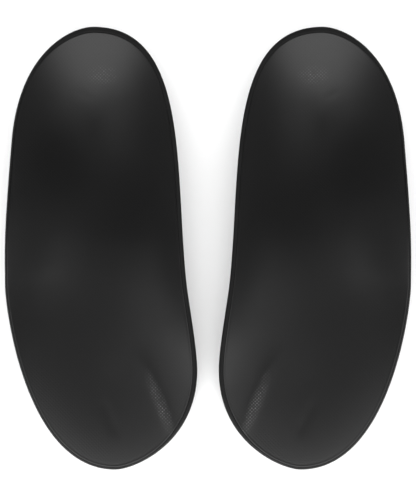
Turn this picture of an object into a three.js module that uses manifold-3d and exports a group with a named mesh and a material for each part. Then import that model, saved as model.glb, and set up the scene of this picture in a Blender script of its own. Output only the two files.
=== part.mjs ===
// A pair of three-quarter-length contoured footbeds, left and right, lying side by side.
// Millimetres, +Z up, floor at z = 0, heels toward +Y and front ends toward -Y.
// The left footbed is built first; the right one is its mirror image across x = 0.
import * as THREE from 'three';
import { mergeVertices } from 'three/addons/utils/BufferGeometryUtils.js';
import Module from 'manifold-3d';

// ---- driving dimensions, mm ----
const LENGTH = 182;             // heel back to front edge
const CENTRE = 45;              // footbed's own centre line to the mirror plane
const COVER = 0.8;              // woven top cover
const BOND = 0.2;               // glue line between two layers
const FOAM = 2.4;               // cushion foam under the cover
const SHELL = 1.8;              // support shell
const LINER = 0.6;              // front bottom cover
const GRIP = 0.8;               // pad under the heel post
const RIM = 0.9;                // bevelled foam edge left bare round the cover, at its narrowest
const RIM_WIDER = 1.3;          // and this much wider round the heel, less so down the outer side
const RIM_STEP = 0.15;          // the bare edge sits this much below the cover
const FLAT_FRONT = LINER + BOND; // lowest the foam comes over the floor

// Outline of the left footbed as cubic curves [x, distance from heel back].
// Outer (lateral) side first, from the heel back to the front tip, then the arch side back.
// The last number is how many equal steps the curve is cut into.
const OUTLINE = [
  [[-2, 0], [38, 0], [31.2, 59.7], [36.2, 105.4], 14],
  [[36.2, 105.4], [37.1, 113.4], [40.6, 132.2], [40.6, 141.1], 4],
  [[40.6, 141.1], [40.6, 171], [14.8, 182], [6.8, 182], 7],
  [[6.8, 182], [-30.4, 182], [-38.3, 114.5], [-38.3, 106.5], 11],
  [[-38.3, 106.5], [-38.3, 91.8], [-39, 89.5], [-35.6, 47.1], 7],
  [[-35.6, 47.1], [-32.6, 9.8], [-11, 0], [-2, 0], 7],
];

// Heights of the top face at stations along the footbed: the middle line over the floor,
// and how far the arch-side and outer-side edges stand above it.
const STATIONS = [0, 30, 60, 90, 120, 150, 182];
const MIDDLE = [11.5, 9.1, 7.2, 8.9, 8.1, 6.4, 3.3];
const ARCH_SIDE = [9.5, 12.8, 13.8, 15, 9.8, 5, 0];
const OUTER_SIDE = [10.6, 11.8, 14, 11, 8.3, 3, 0];
const WALL_CURVE = 2.2;         // the walls rise as this power of the way out

// Swellings on top of that: height, and where along the footbed each starts, crests and ends.
const ARCH_HUMPS = [[5.8, 40, 66, 107], [2.2, 54, 68, 89]];
const OUTER_HUMP = [0.9, 50, 89, 145];

// ---- the top face ----
function along(values, d) {
  const last = STATIONS.length - 1;
  const slope = (k) => {
    const a = Math.max(k - 1, 0);
    const b = Math.min(k + 1, last);
    return (values[b] - values[a]) / (STATIONS[b] - STATIONS[a]);
  };
  const s = Math.min(Math.max(d, 0), LENGTH);
  let k = 0;
  while (k < last - 1 && s >= STATIONS[k + 1]) k += 1;
  const h = STATIONS[k + 1] - STATIONS[k];
  const t = (s - STATIONS[k]) / h;
  const rise = t * t * (3 - 2 * t);
  return values[k] * (1 - rise) + values[k + 1] * rise
    + h * t * (1 - t) * ((1 - t) * slope(k) - t * slope(k + 1));
}

// Nothing below zero and a straight rise above it, with a rounded start.
const ramp = (over, bend) => 0.5 * (over + Math.hypot(over, bend));

function hump(d, [height, start, top, end]) {
  const rise = (ramp(d - start, 12) - ramp(d - top, 7)) / (top - start);
  const fall = (ramp(d - top, 7) - ramp(d - end, 8)) / (end - top);
  return height * (rise - fall);
}

// x and d place the point; r runs from 0 on the middle line to 1 on the outline.
function topFace(x, d, r) {
  const archShare = 1 / (1 + Math.exp(x / 9));
  const wall = along(ARCH_SIDE, d) * archShare + along(OUTER_SIDE, d) * (1 - archShare);
  const arch = (hump(d, ARCH_HUMPS[0]) + hump(d, ARCH_HUMPS[1])) / (1 + Math.exp((x + 11) / 6));
  const outer = hump(d, OUTER_HUMP) * Math.exp(-(((x - 13) / 10) ** 2));
  return along(MIDDLE, d) + wall * r ** WALL_CURVE + arch + outer;
}

// Underside of the foam: parallel to the top face, flattened where the front meets the floor.
function foamUnder(top) {
  return FLAT_FRONT + ramp(top - COVER - BOND - FOAM - FLAT_FRONT, 0.4);
}

// ---- the plan grid every layer shares ----
function outlinePoints() {
  const points = [];
  for (const [a, b, c, d, steps] of OUTLINE) {
    const curve = new THREE.CubicBezierCurve(...[a, b, c, d].map((p) => new THREE.Vector2(...p)));
    points.push(...curve.getSpacedPoints(steps).slice(0, -1));
  }
  return points;
}

const EDGE = outlinePoints();
const N = EDGE.length;
const HALF = N / 2;

function spinePoint(i) {
  const mean = (EDGE[i].y + EDGE[(N - i) % N].y) / 2;
  const d = LENGTH / 2 + 0.56 * (mean - LENGTH / 2);
  const drift = Math.max(d - 80, 0) / 67;
  return new THREE.Vector2(-2 + 7.5 * drift * drift, d);
}

const SPINE = Array.from({ length: HALF + 1 }, (_, i) => spinePoint(i));
const spineOf = (i) => SPINE[Math.min(i, N - i)];

// Share of the way from the middle line to the outline that stops `inset` mm short of it.
function shortOf(i, inset) {
  const ahead = EDGE[(i + 1) % N];
  const behind = EDGE[(i + N - 1) % N];
  const run = ahead.clone().sub(behind).normalize();
  const ray = EDGE[i].clone().sub(spineOf(i));
  const across = Math.abs(ray.x * run.y - ray.y * run.x);
  return 1 - inset / across;
}

// Width of the bare foam edge at that point of the outline.
function rimWidth(i) {
  const { x, y } = EDGE[i];
  const front = Math.min(Math.max((178 - y) / 14, 0), 1);
  const outer = (0.7 * front) / (1 + Math.exp(-x / 6));
  const heel = Math.exp(-y / 15);
  return RIM + RIM_WIDER * (1 - (1 - outer) * (1 - heel));
}

function gridPoint(i, r) {
  const [s, e] = [spineOf(i), EDGE[i]];
  return new THREE.Vector2(s.x + (e.x - s.x) * r, s.y + (e.y - s.y) * r);
}

// One ring of the grid. `share` gives r for each index, `height` turns the top height into z.
function ring(share, height) {
  return Array.from({ length: N }, (_, i) => {
    const r = share(i);
    const p = gridPoint(i, r);
    return new THREE.Vector3(p.x - CENTRE, LENGTH / 2 - p.y, height(topFace(p.x, p.y, r)));
  });
}

// Closed solid from rings: out along the top from the middle line, back in underneath.
// Each quad is split the same way in plan on both faces, so stacked layers stay parallel.
function layered(above, below) {
  const rings = [...above, ...below];
  const vertices = rings.flat();
  const last = rings.length - 1;
  const at = (k, i) => {
    const j = i % N;
    return k * N + (k === 0 || k === last ? Math.min(j, N - j) : j);
  };
  const index = [];
  for (let k = 0; k < last; k += 1) {
    for (let i = 0; i < N; i += 1) {
      const [a, b, c, d] = [at(k, i), at(k, i + 1), at(k + 1, i + 1), at(k + 1, i)];
      index.push(...(k < above.length ? [a, c, b, a, d, c] : [a, d, b, b, d, c]));
    }
  }
  return solid(vertices, index);
}

function solid(vertices, index) {
  const geometry = new THREE.BufferGeometry();
  geometry.setAttribute('position', new THREE.Float32BufferAttribute(vertices.flatMap((v) => [v.x, v.y, v.z]), 3));
  geometry.setIndex(index);
  const used = mergeVertices(geometry.toNonIndexed(), 1e-5);
  return signedVolume(used) < 0 ? flipped(used) : used;
}

function signedVolume(geometry) {
  const p = geometry.attributes.position;
  const [a, b, c] = [new THREE.Vector3(), new THREE.Vector3(), new THREE.Vector3()];
  let sum = 0;
  for (let t = 0; t < geometry.index.count; t += 3) {
    a.fromBufferAttribute(p, geometry.index.getX(t));
    b.fromBufferAttribute(p, geometry.index.getX(t + 1));
    c.fromBufferAttribute(p, geometry.index.getX(t + 2));
    sum += a.dot(b.cross(c)) / 6;
  }
  return sum;
}

function flipped(geometry) {
  const index = Array.from(geometry.index.array);
  for (let t = 0; t < index.length; t += 3) [index[t], index[t + 1]] = [index[t + 1], index[t]];
  geometry.setIndex(index);
  return geometry;
}

// Grid shares of the inner rings, the last one being where the bevelled edge begins.
const INNER = [0, 0.18, 0.36, 0.52, 0.67, 0.8, 0.91, 1];
const innerShare = (q) => (i) => q * shortOf(i, rimWidth(i) + BOND);
const inner = (upTo, height) => INNER.filter((q) => q <= upTo).map((q) => ring(innerShare(q), height));
const slab = (upTo, top, under) => layered(inner(upTo, top), inner(upTo, under).reverse());

// ---- joining and cutting ----
const wasm = await Module();
wasm.setup();

function toManifold(geometry) {
  const bare = geometry.clone();
  bare.deleteAttribute('normal');
  bare.deleteAttribute('uv');
  const whole = mergeVertices(bare, 1e-5);
  return new wasm.Manifold(new wasm.Mesh({
    numProp: 3,
    vertProperties: Float32Array.from(whole.attributes.position.array),
    triVerts: Uint32Array.from(whole.index.array),
  }));
}

function toGeometry(manifold) {
  const mesh = manifold.getMesh();
  const geometry = new THREE.BufferGeometry();
  geometry.setAttribute('position', new THREE.Float32BufferAttribute(mesh.vertProperties, 3));
  geometry.setIndex(Array.from(mesh.triVerts));
  return geometry;
}

const cut = (a, b) => toGeometry(toManifold(a).subtract(toManifold(b)));
const keep = (a, b) => toGeometry(toManifold(a).intersect(toManifold(b)));

// Upright oval block. `x` and `d` are its centre in footbed terms.
function oval({ x, d, wide, long, z, zTop, sides = 40 }) {
  const level = (height) => Array.from({ length: sides }, (_, k) => {
    const turn = (2 * Math.PI * k) / sides;
    const [across, back] = [(wide / 2) * Math.cos(turn), (long / 2) * Math.sin(turn)];
    return new THREE.Vector3(x - CENTRE + across, LENGTH / 2 - d + back, height);
  });
  const middle = (height) => new THREE.Vector3(x - CENTRE, LENGTH / 2 - d, height);
  const vertices = [...level(z), ...level(zTop), middle(z), middle(zTop)];
  const index = [];
  for (let k = 0; k < sides; k += 1) {
    const n = (k + 1) % sides;
    index.push(k, n, sides + n, k, sides + n, sides + k);
    index.push(2 * sides, n, k, 2 * sides + 1, sides + k, sides + n);
  }
  return solid(vertices, index);
}

// ---- layers, top to bottom ----
const coverUnder = (top) => top - COVER;
const foamTop = (top) => top - COVER - BOND;
const shellTop = (top) => foamUnder(top) - BOND;
const shellUnder = (top) => shellTop(top) - SHELL;
const blockTop = (top) => shellUnder(top) - BOND;
const linerTop = (top) => foamUnder(top) - BOND;
const linerUnder = (top) => linerTop(top) - LINER;

// A ring short of the outline by `part` of the bare edge's width and `more` mm.
const rimRing = (part, more, height) => ring((i) => shortOf(i, part * rimWidth(i) + more), height);
const between = (share) => (top) => {
  const low = foamUnder(top);
  return low + share * (top - RIM_STEP - low);
};

const cover = layered([
  ...inner(0.91, (top) => top),
  rimRing(1, BOND + 0.5, (top) => top),
  rimRing(1, BOND, (top) => top - 0.2),
], inner(1, coverUnder).reverse());

// The foam carries the cover in a shallow recess and comes up round it as a bevelled edge.
const wholeFoam = layered([
  ...inner(1, foamTop),
  rimRing(1, 0, foamTop),
  rimRing(1, 0, between(1)),
  rimRing(0.5, 0, between(0.87)),
  rimRing(0, 0, between(0.48)),
  rimRing(0, 0.3, between(0.1)),
], [
  rimRing(0.6, 0.2, between(0)),
  ...inner(1, foamUnder).reverse(),
]);

const THROUGH = { z: -5, zTop: 60 }; // taller than any layer
const PAD = { x: -1.5, d: 40, ...THROUGH };
const foam = cut(wholeFoam, oval({ ...PAD, wide: 36, long: 46 }));
const heelPad = keep(slab(0.91, foamTop, foamUnder), oval({ ...PAD, wide: 35.4, long: 45.4 }));

// The shell's front edge is a round sweep across the footbed; the liner starts ahead of it.
const sweep = (d, radius) => oval({ x: 0, d, wide: 2 * radius, long: 2 * radius, sides: 96, ...THROUGH });
const shell = keep(slab(0.91, shellTop, shellUnder), sweep(60, 62));
const liner = cut(slab(1, linerTop, linerUnder), sweep(60, 63));

// Blocks under the shell: sides lean inward to a flat foot.
const leaning = (foot) => layered(inner(0.8, blockTop), inner(0.67, () => foot).reverse());
const post = keep(leaning(GRIP + BOND), sweep(18, 56));
const archSide = oval({ x: -36, d: 91, wide: 56, long: 42, ...THROUGH });
const filler = cut(keep(leaning(0), archSide), sweep(18, 57));
const grip = oval({ x: -1.5, d: 41, wide: 34, long: 52, z: 0, zTop: GRIP });

// ---- the pair ----
const LOOKS = {
  top_cover: [cover, 0x1c1c1d, 0.7],
  cushion_foam: [foam, 0x17171a, 0.9],
  heel_pad: [heelPad, 0x2c2f33, 0.6],
  support_shell: [shell, 0x101012, 0.4],
  arch_filler: [filler, 0x232326, 0.9],
  rear_post: [post, 0x1d1d20, 0.85],
  heel_grip: [grip, 0x2b2b2e, 0.8],
  bottom_cover: [liner, 0x262627, 0.95],
};

const group = new THREE.Group();
group.name = 'footbed_pair';
for (const [piece, [geometry, color, roughness]] of Object.entries(LOOKS)) {
  const mirrored = flipped(geometry.clone().scale(-1, 1, 1));
  for (const [side, shape] of [['left', geometry], ['right', mirrored]]) {
    shape.computeVertexNormals();
    const material = new THREE.MeshStandardMaterial({ color, roughness, metalness: 0 });
    const mesh = new THREE.Mesh(shape, material);
    mesh.name = `${side}_${piece}`;
    group.add(mesh);
  }
}

export default group;
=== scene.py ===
"""A mirrored pair of black contoured footbeds with all their layers, heels toward +Y."""
import math
import bmesh
import bpy
import numpy as np
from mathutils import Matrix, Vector
from mathutils.bvhtree import BVHTree

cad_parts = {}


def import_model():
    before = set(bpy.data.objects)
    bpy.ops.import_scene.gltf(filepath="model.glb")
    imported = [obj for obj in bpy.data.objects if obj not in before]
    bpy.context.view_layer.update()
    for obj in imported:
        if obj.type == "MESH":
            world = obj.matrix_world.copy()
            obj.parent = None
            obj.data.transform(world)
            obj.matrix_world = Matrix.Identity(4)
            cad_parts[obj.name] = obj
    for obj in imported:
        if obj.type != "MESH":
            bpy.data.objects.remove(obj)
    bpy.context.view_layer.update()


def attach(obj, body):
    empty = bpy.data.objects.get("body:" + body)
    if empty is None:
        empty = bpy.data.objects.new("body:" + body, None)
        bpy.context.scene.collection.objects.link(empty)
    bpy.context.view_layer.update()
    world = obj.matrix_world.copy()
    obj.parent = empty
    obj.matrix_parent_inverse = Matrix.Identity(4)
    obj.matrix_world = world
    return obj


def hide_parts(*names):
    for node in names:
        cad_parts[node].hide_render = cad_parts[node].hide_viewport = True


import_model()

# ---- sizes in millimetres, the same as the CAD part's ----
LENGTH = 182.0      # of each footbed
CENTRE = 45.0       # from the mirror plane to a footbed's own middle
COVER = 0.8         # thickness of the woven cover
BOND = 0.2          # glue line between two layers
FOAM = 2.4
SHELL = 1.8
LINER = 0.6
GRIP = 0.8
RIM = 0.9           # narrowest bare foam edge
RIM_WIDER = 1.3     # what the edge gains round the heel and down the outer side
RIM_STEP = 0.15     # drop from the cover's face to the foam edge
FLAT_FRONT = LINER + BOND
FLAT_BEND = 0.4     # rounding where the foam's underside turns flat
FINE = 9            # steps here for each step of the CAD outline

OUTLINE = [  # cubic curves from the heel back round the outer side: four points and the CAD's steps
    ((-2, 0), (38, 0), (31.2, 59.7), (36.2, 105.4), 14),
    ((36.2, 105.4), (37.1, 113.4), (40.6, 132.2), (40.6, 141.1), 4),
    ((40.6, 141.1), (40.6, 171), (14.8, 182), (6.8, 182), 7),
    ((6.8, 182), (-30.4, 182), (-38.3, 114.5), (-38.3, 106.5), 11),
    ((-38.3, 106.5), (-38.3, 91.8), (-39, 89.5), (-35.6, 47.1), 7),
    ((-35.6, 47.1), (-32.6, 9.8), (-11, 0), (-2, 0), 7),
]
STATIONS = np.array([0, 30, 60, 90, 120, 150, 182.0])
MIDDLE = np.array([11.5, 9.1, 7.2, 8.9, 8.1, 6.4, 3.3])
ARCH_SIDE = np.array([9.5, 12.8, 13.8, 15, 9.8, 5, 0])
OUTER_SIDE = np.array([10.6, 11.8, 14, 11, 8.3, 3, 0])
WALL_CURVE = 2.2    # the walls rise as this power of the way out
ARCH_HUMPS = [(5.8, 40, 66, 107), (2.2, 54, 68, 89)]  # height, start, crest, end
OUTER_HUMP = (0.9, 50, 89, 145)
START_BEND, CREST_BEND, END_BEND = 12, 7, 8
FOLDS = [  # finer than the CAD's grid: start, end, height, half width
    ((18.5, 137), (32, 170), 0.28, 2.0),
    ((-9, 26), (-3, 30), 0.05, 0.8),
    ((2, 154), (7, 167), -0.12, 1.6),
]
FOLD_FADE = 1.0125  # how fast a fold dies away toward its ends


# ---- the top face ----
def along(values, d):
    """Smooth curve through the values at the stations."""
    slope = np.gradient(values, STATIONS)  # stays as it is at the two ends
    slope[1:-1] = (values[2:] - values[:-2]) / (STATIONS[2:] - STATIONS[:-2])
    s = np.clip(d, 0, LENGTH)
    k = np.clip(np.searchsorted(STATIONS, s, "right") - 1, 0, len(STATIONS) - 2)
    h = STATIONS[k + 1] - STATIONS[k]
    t = (s - STATIONS[k]) / h
    rise = t * t * (3 - 2 * t)
    bend = h * t * (1 - t) * ((1 - t) * slope[k] - t * slope[k + 1])
    return values[k] * (1 - rise) + values[k + 1] * rise + bend


def ramp(over, bend):
    """Nothing below zero and a straight rise above it, with a rounded start."""
    return 0.5 * (over + np.sqrt(over * over + bend * bend))


def hump(d, height, start, top, end):
    """A straight rise from start to a crest at top and a straight fall to end, all softly rounded."""
    crest = ramp(d - top, CREST_BEND)
    rise = (ramp(d - start, START_BEND) - crest) / (top - start)
    fall = (crest - ramp(d - end, END_BEND)) / (end - top)
    return height * (rise - fall)


def arch_share(x, middle, blend):
    """One on the arch side and nothing on the outer side, with a soft change at middle."""
    return 1 / (1 + np.exp((x - middle) / blend))


def fold(x, d, start, end, height, width):
    """A soft ridge, or a dent if its height is negative, along a line and fading toward its ends."""
    run = np.subtract(end, start)
    length = np.hypot(*run)
    ux, ud = run / length
    dx, dd = x - start[0], d - start[1]
    from_middle = 2 * (dx * ux + dd * ud) / length - 1
    off = (dx * ud - dd * ux) / width
    return height * np.exp(-off ** 2 / 2 - FOLD_FADE * from_middle ** 4)


def top_face(x, d, r):
    """Height of the top face; r is 0 on the middle line and 1 on the outline."""
    share = arch_share(x, 0, 9)
    wall = along(ARCH_SIDE, d) * share + along(OUTER_SIDE, d) * (1 - share)
    arch = sum(hump(d, *h) for h in ARCH_HUMPS) * arch_share(x, -11, 6)
    outer = hump(d, *OUTER_HUMP) * np.exp(-((x - 13) / 10) ** 2)
    folds = sum(fold(x, d, *f) for f in FOLDS)
    return along(MIDDLE, d) + wall * np.maximum(r, 0) ** WALL_CURVE + arch + outer + folds


def foam_under(top):
    return FLAT_FRONT + ramp(top - COVER - BOND - FOAM - FLAT_FRONT, FLAT_BEND)


def shell_under(top):
    return foam_under(top) - BOND - SHELL


def block_top(top):
    return shell_under(top) - BOND


# ---- the plan grid ----
SPINE_PULL = 0.56         # length of the middle line as a share of the footbed's
SPINE_X = -2              # of the middle line at the heel
SPINE_SWING = 7.5         # how far it swings outward ahead of the arch
SWING_START, SWING_RUN = 80, 67


def spaced(curve, steps):
    """A cubic curve cut into equal steps, without its last point."""
    a, b, c, d = (np.array(p, float) for p in curve)
    t = np.linspace(0, 1, 600)[:, None]
    line = (1 - t) ** 3 * a + 3 * (1 - t) ** 2 * t * b + 3 * (1 - t) * t * t * c + t ** 3 * d
    return resampled(line, steps)[:-1]


def resampled(line, steps):
    """The polyline cut into equal steps."""
    run = np.concatenate([[0], np.cumsum(np.hypot(*np.diff(line, axis=0).T))])
    at = np.linspace(0, run[-1], steps + 1)
    return np.column_stack([np.interp(at, run, line[:, 0]), np.interp(at, run, line[:, 1])])


class Plan:
    """A closed outline with a middle line, on which rings of points are laid."""

    def __init__(self, edge, spine=None):
        self.edge = edge
        self.n = len(edge)
        index = np.arange(self.n)
        self.pair = np.minimum(index, self.n - index)
        other = edge[(self.n - index) % self.n]
        mean = (edge[:, 1] + other[:, 1]) / 2
        if spine is None:
            d = LENGTH / 2 + SPINE_PULL * (mean - LENGTH / 2)
            x = SPINE_X + SPINE_SWING * (np.maximum(d - SWING_START, 0) / SWING_RUN) ** 2
            self.spine = np.column_stack([x, d])
        else:
            (x0, d0), (x1, d1) = spine
            t = (mean - mean.min()) / (mean.max() - mean.min())
            self.spine = np.column_stack([x0 + (x1 - x0) * t, d0 + (d1 - d0) * t])
        run = np.roll(edge, -1, 0) - np.roll(edge, 1, 0)
        run /= np.linalg.norm(run, axis=1)[:, None]
        ray = edge - self.spine
        self.across = np.abs(ray[:, 0] * run[:, 1] - ray[:, 1] * run[:, 0])

    def at(self, r):
        """The points that are the share r of the way from the middle line to the outline."""
        return self.spine + (self.edge - self.spine) * np.reshape(r, (-1, 1))

    def ring(self, share):
        """A ring at one share of the way all round."""
        return self.at(np.full(self.n, share))

    def short(self, inset):
        """Share of the way to the outline that stops inset mm short of it."""
        return 1 - inset / self.across


def outline():
    return np.concatenate([spaced(c[:4], c[4] * FINE) for c in OUTLINE])


MAIN = Plan(outline())
SHARES = np.concatenate([[0], np.linspace(0.04, 0.97, 44)])  # of the rings inside the rim


def main_ring(r, height):
    """A ring of the main plan, lifted to height(top face there)."""
    p = MAIN.at(r)
    top = top_face(p[:, 0], p[:, 1], r)
    return np.column_stack([p, height(top)])


def rim_width():
    """Width of the bare foam edge: wider round the heel and down the outer side."""
    x, d = MAIN.edge[:, 0], MAIN.edge[:, 1]
    front_fade = np.clip((178 - d) / 14, 0, 1)
    outer = 0.7 * front_fade * (1 - arch_share(x, 0, 6))
    heel = np.exp(-d / 15)
    return RIM + RIM_WIDER * (1 - (1 - outer) * (1 - heel))


WIDTH = rim_width()


def inner_rings(height, upto=1.0):
    """Rings from the middle line to just inside the cover's edge."""
    edge = MAIN.short(WIDTH + BOND)
    return [main_ring(q * edge, height) for q in SHARES if q <= upto]


# ---- meshes ----
def to_frame(points, side):
    """Footbed millimetres (x, distance from heel back, height) to the frame's metres."""
    x = (points[:, 0] - CENTRE) * (1 if side == "left" else -1)
    return np.column_stack([x, LENGTH / 2 - points[:, 1], points[:, 2]]) / 1000


def skin(rings, n, pair, ends=(True, True)):
    """Vertices and quads of a body made of rings; an end ring on the middle line is stitched shut."""
    last = len(rings) - 1
    vertices = np.concatenate(rings)
    faces = []
    for k in range(last):
        for i in range(n):
            j = (i + 1) % n
            low = [pair[i], pair[j]] if k == 0 and ends[0] else [i, j]
            high = [pair[i], pair[j]] if k + 1 == last and ends[1] else [i, j]
            quad = [k * n + low[0], k * n + low[1], (k + 1) * n + high[1], (k + 1) * n + high[0]]
            faces.append(quad)
    return vertices, faces


def body(name, side, rings, plan, ends=(True, True)):
    """A shaded mesh object made of rings, with loose doubles removed and normals outward."""
    vertices, faces = skin(rings, plan.n, plan.pair, ends)
    mesh = bpy.data.meshes.new(name)
    mesh.from_pydata([tuple(v) for v in to_frame(vertices, side)], [], faces)
    bm = bmesh.new()
    bm.from_mesh(mesh)
    bmesh.ops.delete(bm, geom=[v for v in bm.verts if not v.link_faces], context="VERTS")
    bmesh.ops.remove_doubles(bm, verts=bm.verts, dist=2e-6)
    bmesh.ops.recalc_face_normals(bm, faces=bm.faces)
    bm.to_mesh(mesh)
    bm.free()
    mesh.polygons.foreach_set("use_smooth", [True] * len(mesh.polygons))
    piece = bpy.data.objects.new(name, mesh)
    bpy.context.scene.collection.objects.link(piece)
    return piece


def finish_piece(piece, side, node, material):
    """Gives the piece its material and body, and hides the CAD node that it stands for."""
    piece.data.materials.append(material)
    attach(piece, side + "_footbed")
    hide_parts(f"{side}_{node}")


# ---- materials ----
def new_material(name):
    material = bpy.data.materials.new(name)
    material.use_nodes = True
    tree = material.node_tree
    return material, tree, tree.nodes["Principled BSDF"]


def add(tree, kind, **settings):
    """A new node; each setting is one of its inputs or else one of its properties."""
    node = tree.nodes.new(kind)
    for key, value in settings.items():
        if key in node.inputs:
            node.inputs[key].default_value = value
        else:
            setattr(node, key, value)
    return node


def maths(tree, operation, a, b=0.0, c=0.0):
    """One sum of numbers and other nodes' outputs."""
    node = tree.nodes.new("ShaderNodeMath")
    node.operation = operation
    for socket, value in zip(node.inputs, (a, b, c)):
        if isinstance(value, (int, float)):
            socket.default_value = value
        else:
            tree.links.new(value, socket)
    return node.outputs[0]


def position(tree):
    return add(tree, "ShaderNodeTexCoord").outputs["Object"]


def noise(tree, scale, detail=3.0, rough=0.55):
    """Cloudy noise with scale lumps to the metre."""
    node = add(tree, "ShaderNodeTexNoise", Scale=scale, Detail=detail, Roughness=rough)
    tree.links.new(position(tree), node.inputs["Vector"])
    return node.outputs["Fac"]


def spread(tree, value, low, high, from_low=0.3, from_high=0.7):
    """The value stretched from one span to another and held at its ends."""
    node = add(tree, "ShaderNodeMapRange")
    node.inputs["From Min"].default_value = from_low
    node.inputs["From Max"].default_value = from_high
    node.inputs["To Min"].default_value = low
    node.inputs["To Max"].default_value = high
    tree.links.new(value, node.inputs["Value"])
    return node.outputs["Result"]


def mixed(tree, factor, first, second):
    """A blend of two colours, the first of which may be another node's output."""
    node = add(tree, "ShaderNodeMix", data_type="RGBA")
    one, two = [socket for socket in node.inputs if socket.type == "RGBA"]
    if isinstance(first, tuple):
        one.default_value = (*first, 1)
    else:
        tree.links.new(first, one)
    two.default_value = (*second, 1)
    tree.links.new(factor, node.inputs["Factor"])
    return [socket for socket in node.outputs if socket.type == "RGBA"][0]


def spot(tree, place, centre, size, turn):
    """One inside a soft-edged oval patch and nothing outside it, in millimetres and degrees."""
    node = add(tree, "ShaderNodeMapping", vector_type="TEXTURE")
    node.inputs["Location"].default_value = (centre[0] / 1000, centre[1] / 1000, 0)
    node.inputs["Rotation"].default_value = (0, 0, math.radians(turn))
    node.inputs["Scale"].default_value = (size[0] / 1000, size[1] / 1000, 1)
    tree.links.new(place, node.inputs["Vector"])
    reach = add(tree, "ShaderNodeVectorMath", operation="LENGTH")
    tree.links.new(node.outputs[0], reach.inputs[0])
    return spread(tree, reach.outputs["Value"], 1, 0, 0.2, 1)


def bumped(tree, shader, *layers):
    """Bump layers one on another: (height, depth in metres)."""
    normal = None
    for height, depth in layers:
        node = add(tree, "ShaderNodeBump", Strength=1.0, Distance=depth)
        tree.links.new(height, node.inputs["Height"])
        if normal is not None:
            tree.links.new(normal, node.inputs["Normal"])
        normal = node.outputs["Normal"]
    tree.links.new(normal, shader.inputs["Normal"])


WEAVE_PITCH = 0.001
DIAGONAL = 0.7071
YARN = (0.003, 0.003, 0.00305), (0.006, 0.006, 0.0061)
# colour of the painted highlight glints on the yarn crowns
GLINT_YARN = (0.17, 0.17, 0.171)
FRONT_GLINT = (19.5, -64), (3.0, 17), -22  # middle, half size and turn of a patch of painted highlight glints on the yarn crowns
# a weaker patch of painted highlight glints at the back of the heel cup
HEEL_GLINT = (43.4, 71.3), (7.5, 4.5), 0
HEEL_GLINT_SHARE = 0.5


def woven_material():
    """Black diagonal weave: two sets of yarns a millimetre apart at 45 degrees, over and under, with
    painted highlight glints on the yarn crowns in a patch at the front and a weaker one at the heel.
    """
    material, tree, shader = new_material("woven_cover")
    place = add(tree, "ShaderNodeSeparateXYZ")
    tree.links.new(position(tree), place.inputs[0])
    x, y = place.outputs["X"], place.outputs["Y"]
    turns = 2 * math.pi / WEAVE_PITCH * DIAGONAL
    sway = spread(tree, noise(tree, 60, 2), -0.00025, 0.00025)
    slants = [maths(tree, step, maths(tree, step, x, y), sway) for step in ("ADD", "SUBTRACT")]
    one, other = (maths(tree, "SINE", maths(tree, "MULTIPLY", s, turns)) for s in slants)
    weave = maths(tree, "MULTIPLY_ADD", maths(tree, "MAXIMUM", one, other), 0.5, 0.5)
    fibre = noise(tree, 2600, 2, 0.7)
    cloudy = noise(tree, 35, 3)
    shade = maths(tree, "MULTIPLY_ADD", weave, 0.55, maths(tree, "MULTIPLY", cloudy, 0.45))
    black = mixed(tree, spread(tree, shade, 0, 1, 0.2, 0.8), *YARN)
    flat = add(tree, "ShaderNodeCombineXYZ")
    tree.links.new(maths(tree, "ABSOLUTE", x), flat.inputs["X"])
    tree.links.new(y, flat.inputs["Y"])
    # painted highlight: the yarn crowns are lightened in two patches where the lamps glint, at the
    # front fold and at the back of the heel cup
    front = spot(tree, flat.outputs[0], *FRONT_GLINT)
    heel = spot(tree, flat.outputs[0], *HEEL_GLINT)
    glint_patches = maths(tree, "MAXIMUM", front, maths(tree, "MULTIPLY", heel, HEEL_GLINT_SHARE))
    crowns = spread(tree, maths(tree, "MINIMUM", one, other), 0, 1, -0.3, 0.9)
    uneven = spread(tree, noise(tree, 550, 4, 0.7), 0.05, 1, 0.38, 0.62)
    painted_glints = maths(tree, "MULTIPLY", glint_patches, maths(tree, "MULTIPLY", crowns, uneven))
    # the painted highlight glints lighten the black yarn colour
    colour = mixed(tree, painted_glints, black, GLINT_YARN)
    tree.links.new(colour, shader.inputs["Base Color"])
    gloss = spread(tree, weave, 0.44, 0.37, 0, 1)
    tree.links.new(gloss, shader.inputs["Roughness"])
    shader.inputs["Sheen Weight"].default_value = 0.03
    shader.inputs["Sheen Roughness"].default_value = 0.5
    shader.inputs["Specular IOR Level"].default_value = 0.85
    bumped(tree, shader, (weave, 0.000022), (fibre, 0.000012))
    return material


def foam_material(name, dark, light, grain=1500, depth=0.00004, rough=0.85):
    """Closed-cell foam, cut or ground: tiny open cells of that depth in metres over a soft mottle."""
    material, tree, shader = new_material(name)
    cells = add(tree, "ShaderNodeTexVoronoi", Scale=grain)
    tree.links.new(position(tree), cells.inputs["Vector"])
    mottle = noise(tree, 90, 4)
    colour = mixed(tree, spread(tree, mottle, 0, 1), dark, light)
    tree.links.new(colour, shader.inputs["Base Color"])
    tree.links.new(spread(tree, mottle, rough - 0.06, rough + 0.06), shader.inputs["Roughness"])
    shader.inputs["Specular IOR Level"].default_value = 0.5
    fine = noise(tree, 5200, 2, 0.7)
    bumped(tree, shader, (cells.outputs["Distance"], depth), (fine, depth * 0.4))
    return material


def shell_material():
    """Moulded plastic with a fine spark-eroded grain."""
    material, tree, shader = new_material("shell_plastic")
    grain = noise(tree, 2300, 3, 0.7)
    flow = noise(tree, 28, 4)
    colour = mixed(tree, spread(tree, flow, 0, 1), (0.011, 0.011, 0.012), (0.017, 0.017, 0.019))
    tree.links.new(colour, shader.inputs["Base Color"])
    tree.links.new(spread(tree, flow, 0.33, 0.45), shader.inputs["Roughness"])
    bumped(tree, shader, (grain, 0.00003))
    return material


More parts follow.
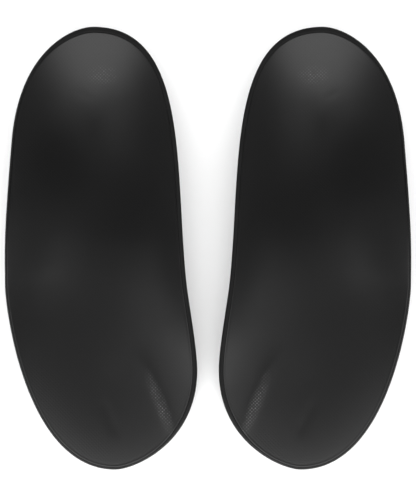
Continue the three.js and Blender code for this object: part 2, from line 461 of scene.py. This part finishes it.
def suede_material():
    """Brushed synthetic suede: short directional nap and faint scuffs."""
    material, tree, shader = new_material("suede_liner")
    mapping = add(tree, "ShaderNodeMapping")
    mapping.inputs["Scale"].default_value = (1.0, 0.25, 1.0)
    tree.links.new(position(tree), mapping.inputs["Vector"])
    nap = add(tree, "ShaderNodeTexNoise", Scale=2400.0, Detail=4.0, Roughness=0.7)
    tree.links.new(mapping.outputs[0], nap.inputs["Vector"])
    scuff = noise(tree, 55, 5, 0.65)
    both = maths(tree, "MULTIPLY", maths(tree, "ADD", nap.outputs["Fac"], scuff), 0.5)
    dark, light = (0.018, 0.0178, 0.0175), (0.034, 0.0336, 0.033)
    colour = mixed(tree, spread(tree, both, 0, 1, 0.35, 0.65), dark, light)
    tree.links.new(colour, shader.inputs["Base Color"])
    shader.inputs["Roughness"].default_value = 0.95
    shader.inputs["Sheen Weight"].default_value = 0.12
    shader.inputs["Specular IOR Level"].default_value = 0.2
    bumped(tree, shader, (nap.outputs["Fac"], 0.00005), (scuff, 0.00008))
    return material


def rubber_material(name, dark, light, rough):
    """Moulded rubber or soft elastomer, a little worn."""
    material, tree, shader = new_material(name)
    worn = noise(tree, 70, 5, 0.6)
    colour = mixed(tree, spread(tree, worn, 0, 1), dark, light)
    tree.links.new(colour, shader.inputs["Base Color"])
    tree.links.new(spread(tree, worn, rough - 0.07, rough + 0.07), shader.inputs["Roughness"])
    bumped(tree, shader, (noise(tree, 1800, 3, 0.7), 0.00003))
    return material


WOVEN = woven_material()
EDGE_FOAM = foam_material("cushion_foam", (0.0035, 0.0035, 0.0036), (0.006, 0.006, 0.0061), rough=0.75)
BLOCK_FOAM = foam_material("block_foam", (0.024, 0.024, 0.026), (0.040, 0.040, 0.043),
                           grain=1100, depth=0.00006, rough=0.9)
PLASTIC = shell_material()
SUEDE = suede_material()
GRIP_RUBBER = rubber_material("grip_rubber", (0.020, 0.020, 0.021), (0.032, 0.032, 0.034), 0.7)
GEL = rubber_material("heel_gel", (0.030, 0.034, 0.038), (0.042, 0.047, 0.052), 0.4)


# ---- top cover and foam, on the main plan ----
def cover_rings():
    """Woven cover; its heat-pressed edge has a small bead."""
    edge = [  # inset from the foam's rim, lift off the top face
        (2.2, 0), (1.5, 0), (1.1, -0.02), (0.85, 0), (0.65, 0.04), (0.45, 0.04), (0.27, 0),
        (0.13, -0.07), (0.06, -0.15), (0.05, -0.3),
    ]
    rings = inner_rings(lambda top: top, 0.92)
    rings += [main_ring(MAIN.short(WIDTH + e), lambda top, dz=dz: top + dz) for e, dz in edge]
    return rings + inner_rings(lambda top: top - COVER)[::-1]


def foam_rings():
    """Cushion foam with a recess for the cover and a bevelled, rounded bare edge."""
    def part(share):
        def height(top):
            low = foam_under(top)
            return low + share * (top - RIM_STEP - low)
        return height

    bevel = [  # inset as a share of the rim's width, share of the foam's height
        (1.0, 0.96), (0.96, 1.0), (0.9, 1.0), (0.78, 0.98), (0.62, 0.93), (0.45, 0.85),
        (0.3, 0.76), (0.16, 0.67), (0.06, 0.59), (0, 0.5),
    ]
    below = [  # inset, share of the foam's height
        (0.03, 0.38), (0.15, 0.24), (0.4, 0.11), (0.8, 0.03), (1.3, 0),
    ]
    rings = inner_rings(lambda top: top - COVER - BOND)
    rings.append(main_ring(MAIN.short(WIDTH), lambda top: top - COVER - BOND))
    rings += [main_ring(MAIN.short(w * WIDTH), part(share)) for w, share in bevel]
    rings += [main_ring(MAIN.short(e), part(share)) for e, share in below]
    return rings + inner_rings(foam_under, 0.97)[::-1]


# ---- looking up the top face at any place ----
def height_finder():
    """A function that gives the top face's height over a flat point."""
    rings = [main_ring(q, lambda top: top) for q in np.linspace(0, 1, 40)]
    vertices, faces = skin(rings, MAIN.n, MAIN.pair, (True, False))
    tree = BVHTree.FromPolygons([tuple(v) for v in vertices], faces)
    return lambda p: tree.ray_cast(Vector((p[0], p[1], 200)), Vector((0, 0, -1)))[0].z


find_top = height_finder()


def placed(points, height):
    """Flat points lifted to height(top face there)."""
    top = np.array([find_top(p) for p in points])
    return np.column_stack([points, height(top)])


def level_ring(points, z):
    """Flat points all at one height, or each at its own."""
    return np.column_stack([points, np.broadcast_to(z, len(points))])


# ---- outlines of the pieces underneath ----
def closed(outer, arch, steps, soften):
    """One outline from its outer and its arch-side half, both from the heel end to the front end."""
    a, b = resampled(outer, steps), resampled(arch, steps)
    edge = np.concatenate([a[:-1], b[:0:-1]])
    for _ in range(soften):
        edge = (np.roll(edge, 1, 0) + 2 * edge + np.roll(edge, -1, 0)) / 4
    return edge


def sweep_points(centre_d, radius, x_from):
    """Points on the front of a circle, from x_from to the middle."""
    x = np.linspace(x_from, 0, 40)
    return np.column_stack([x, centre_d + np.sqrt(radius ** 2 - x ** 2)])


def offset_halves(share):
    """The grid line at that share of the way out, as outer and arch-side halves."""
    ring = MAIN.at(share * MAIN.short(WIDTH + BOND))
    n = MAIN.n // 2
    return ring[: n + 1], np.concatenate([ring[:1], ring[:n - 1:-1]])


def behind(points, centre_d, radius):
    """The part of a half outline that lies heelward of a sweep, then along the sweep to the middle."""
    inside = points[np.hypot(points[:, 0], points[:, 1] - centre_d) < radius]
    return np.concatenate([inside, sweep_points(centre_d, radius, inside[-1][0])[1:]])


def plate(name, side, edge, spine, top, under, rounding=0.5):
    """A sheet or block between two heights over an outline, with rounded edges."""
    plan = Plan(edge, spine)
    grid = [0, 0.12, 0.24, 0.36, 0.48, 0.6, 0.7, 0.8, 0.88, 0.94]
    core = plan.short(2.2 * rounding)

    def level(t):
        return lambda z: under(z) + (top(z) - under(z)) * t

    turn = [  # inset in roundings, share of the thickness
        (1.6, 1.0), (0.9, 0.985), (0.4, 0.93), (0.12, 0.82), (0, 0.66),
        (0, 0.34), (0.12, 0.18), (0.4, 0.07), (0.9, 0.015), (1.6, 0),
    ]
    rings = [placed(plan.at(q * core), top) for q in grid]
    rings += [placed(plan.at(plan.short(e * rounding)), level(t)) for e, t in turn]
    rings += [placed(plan.at(q * core), under) for q in grid[::-1]]
    return body(name, side, rings, plan)


def block(name, side, upper, foot, spine, top, floor):
    """A foam block that leans inward from its upper outline to a flat foot with a soft edge."""
    plan, base = Plan(upper, spine), Plan(foot, spine)
    grid = [0, 0.15, 0.3, 0.45, 0.6, 0.75, 0.88, 0.96]
    rings = [placed(plan.ring(q), top) for q in grid]
    lip_inset, lip_drop = 0.15, 0.08
    rings.append(placed(plan.at(plan.short(lip_inset)), top) - [0, 0, lip_drop])
    rim = placed(plan.edge, top)
    for t in (0.04, 0.15, 0.35, 0.55, 0.75, 0.9, 0.96):
        flat = plan.edge + (base.edge - plan.edge) * t
        height = rim[:, 2] + (floor - rim[:, 2]) * t
        rings.append(np.column_stack([flat, height]))
    for inset, lift in ((0.05, 0.12), (0.3, 0)):
        rings.append(level_ring(base.at(base.short(inset)), floor + lift))
    rings += [level_ring(base.ring(q), floor) for q in grid[::-1]]
    return body(name, side, rings, plan)


def oval(centre, wide, long, steps=60):
    """An oval that starts at its heel end and runs round by the outer side."""
    turn = np.linspace(0, 2 * math.pi, 2 * steps, endpoint=False)
    return np.column_stack([centre[0] + wide / 2 * np.sin(turn), centre[1] - long / 2 * np.cos(turn)])


def filler_outline(share):
    """Arch filler: the grid line on the arch side, closed by an oval sweep toward the middle."""
    centre, reach = np.array([-36, 91]), np.array([28, 21])
    line = offset_halves(share)[1]
    x, d = ((line - centre) / reach).T
    inside = x * x + d * d < 1
    turns = np.arctan2(d, x)[inside]
    turn = np.linspace(turns[0], turns[-1], 80)
    round_side = centre + reach * np.column_stack([np.cos(turn), np.sin(turn)])
    return closed(round_side, line[inside], 60, 2)


def cut_away(piece, edge, spine, side):
    """Cuts an upright hole with that outline right through the piece."""
    plan = Plan(edge, spine)
    above, below = 40, -5
    corners = [(0, above), (1, above), (1, below), (0, below)]
    cutter = body("cutter", side, [level_ring(plan.ring(q), z) for q, z in corners], plan)
    modifier = piece.modifiers.new("cut", "BOOLEAN")
    modifier.operation = "DIFFERENCE"
    modifier.solver = "EXACT"
    modifier.object = cutter
    bpy.context.view_layer.objects.active = piece
    bpy.ops.object.modifier_apply(modifier="cut")
    bpy.data.objects.remove(cutter)


def liner_rings():
    """Thin front liner with a softly rolled edge, before its heel side is cut off."""
    def part(share):
        return lambda top: foam_under(top) - BOND - LINER * (1 - share)

    edge = [  # inset, share of the thickness
        (0.35, 0.97), (0.1, 0.85), (0, 0.6), (0, 0.4), (0.1, 0.15), (0.35, 0.03),
    ]
    rings = inner_rings(part(1), 0.97)
    rings += [main_ring(MAIN.short(WIDTH + BOND + e), part(share)) for e, share in edge]
    return rings + inner_rings(part(0), 0.97)[::-1]


def grip_body(name, side):
    """Rubber pad under the heel with cross ribs that stand on the floor."""
    rib_pitch, groove_depth = 4, 0.32
    plan = Plan(oval((-1.5, 41), 34, 52, 120), ((-1.5, 30), (-1.5, 52)))
    rings = [level_ring(plan.ring(q), GRIP) for q in np.linspace(0, 0.93, 40)]
    for inset, z in ((0.35, GRIP), (0.1, GRIP - 0.08), (0, GRIP - 0.25), (0, 0.3), (0.12, 0.22)):
        rings.append(level_ring(plan.at(plan.short(inset)), z))
    for q in np.linspace(0, 0.975, 42)[::-1]:
        flat = plan.ring(q)
        rib = 0.5 + 0.5 * np.cos(2 * math.pi * flat[:, 1] / rib_pitch)
        groove = groove_depth * (1 - np.sqrt(rib)) * np.clip((0.93 - q) / 0.06, 0, 1)
        rings.append(level_ring(flat, groove))
    return body(name, side, rings, plan)


HEEL_MIDDLE = (-1.5, 40)
WINDOW = (36, 46)           # hole in the foam for the heel pad, wide and long
PAD_GAP = 0.6               # the pad is this much smaller than the window
SHELL_SWEEP = (60, 62)      # middle and radius of the circle that ends the piece ahead
POST_SWEEP = (18, 56)
LINER_SWEEP = (60, 63)
TO_SHELL = 0.91             # share of the grid at the shell's outline
BLOCK_SHARES = (0.8, 0.67)  # and at the top and the foot of the two blocks


def build(side):
    """All eight pieces of one footbed."""
    cover = body(f"{side}_cover", side, cover_rings(), MAIN)
    finish_piece(cover, side, "top_cover", WOVEN)

    foam = body(f"{side}_foam", side, foam_rings(), MAIN)
    cut_away(foam, oval(HEEL_MIDDLE, *WINDOW), ((-1.5, 36), (-1.5, 44)), side)
    finish_piece(foam, side, "cushion_foam", EDGE_FOAM)

    pad_size = [across - PAD_GAP for across in WINDOW]
    pad = plate(f"{side}_pad", side, oval(HEEL_MIDDLE, *pad_size), ((-1.5, 34), (-1.5, 46)),
                lambda z: z - COVER - BOND, foam_under)
    finish_piece(pad, side, "heel_pad", GEL)

    halves = [behind(h, *SHELL_SWEEP) for h in offset_halves(TO_SHELL)]
    shell = plate(f"{side}_shell", side, closed(*halves, 150, 6), ((-2, 36), (-1, 98)),
                  lambda z: foam_under(z) - BOND, shell_under, 0.7)
    finish_piece(shell, side, "support_shell", PLASTIC)

    upper, foot = (closed(*(behind(h, *POST_SWEEP) for h in offset_halves(q)), 110, 8)
                   for q in BLOCK_SHARES)
    post = block(f"{side}_post", side, upper, foot, ((-2, 36), (-2, 55)), block_top, GRIP + BOND)
    finish_piece(post, side, "rear_post", BLOCK_FOAM)

    upper, foot = (filler_outline(q) for q in BLOCK_SHARES)
    filler = block(f"{side}_filler", side, upper, foot, ((-19, 84), (-19, 98)), block_top, 0)
    finish_piece(filler, side, "arch_filler", BLOCK_FOAM)

    grip = grip_body(f"{side}_grip", side)
    finish_piece(grip, side, "heel_grip", GRIP_RUBBER)

    liner = body(f"{side}_liner", side, liner_rings(), MAIN)
    sweep_d, radius = LINER_SWEEP
    cut_away(liner, oval((0, sweep_d), 2 * radius, 2 * radius, 90), ((0, 50), (0, 70)), side)
    finish_piece(liner, side, "bottom_cover", SUEDE)


for which in ("left", "right"):
    build(which)


# ---- floor, light and camera ----
def floor():
    """A wide pale floor just under the feet of the blocks."""
    bpy.ops.mesh.primitive_plane_add(size=6, location=(0, 0, -0.0002))
    plane = bpy.context.object
    plane.name = "floor"
    material, tree, shader = new_material("floor_white")
    shader.inputs["Base Color"].default_value = (0.92, 0.92, 0.92, 1)
    shader.inputs["Specular IOR Level"].default_value = 0.1
    tree.links.new(spread(tree, noise(tree, 3, 2), 0.93, 0.97), shader.inputs["Roughness"])
    plane.data.materials.append(material)


def softbox(name, place, size, power):
    """A rectangular lamp that faces the middle of the pair."""
    light = bpy.data.lights.new(name, "AREA")
    light.shape = "RECTANGLE"
    light.size, light.size_y = size
    light.energy = power
    lamp = bpy.data.objects.new(name, light)
    lamp.location = place
    lamp.rotation_euler = (-Vector(place)).to_track_quat("-Z", "Y").to_euler()
    bpy.context.scene.collection.objects.link(lamp)


def world(strength):
    """Even white light from all round."""
    scene_world = bpy.data.worlds.new("studio")
    scene_world.use_nodes = True
    bpy.context.scene.world = scene_world
    back = scene_world.node_tree.nodes["Background"]
    back.inputs["Color"].default_value = (1, 1, 1, 1)
    back.inputs["Strength"].default_value = strength
    scene_world.cycles_visibility.glossy = False  # even room light; only the lamps glint on the weave


def camera():
    """Straight down from far off, so that both footbeds are seen without perspective."""
    away, seen = 6.0, 0.2042  # metres to the pair, and metres in view from top to bottom
    sensor, mid_height = 36, 0.012
    data = bpy.data.cameras.new("camera")
    data.sensor_fit = "VERTICAL"
    data.sensor_height = sensor
    data.lens = sensor * away / seen
    data.clip_end = 20
    eye = bpy.data.objects.new("camera", data)
    eye.location = (0, 0, away + mid_height)
    bpy.context.scene.collection.objects.link(eye)
    bpy.context.scene.camera = eye


floor()
world(1.55)
softbox("toe_key", (0, -1.10, 0.86), (2.25, 1.6), 15)
softbox("heel_fill", (0, 1.5, 0.6), (2.4, 0.6), 2.0)
softbox("left_fill", (-1.6, 0, 0.45), (2.0, 0.5), 0.35)
softbox("right_fill", (1.6, 0, 0.45), (2.0, 0.5), 0.35)
camera()
bpy.context.scene.view_settings.view_transform = "Standard"
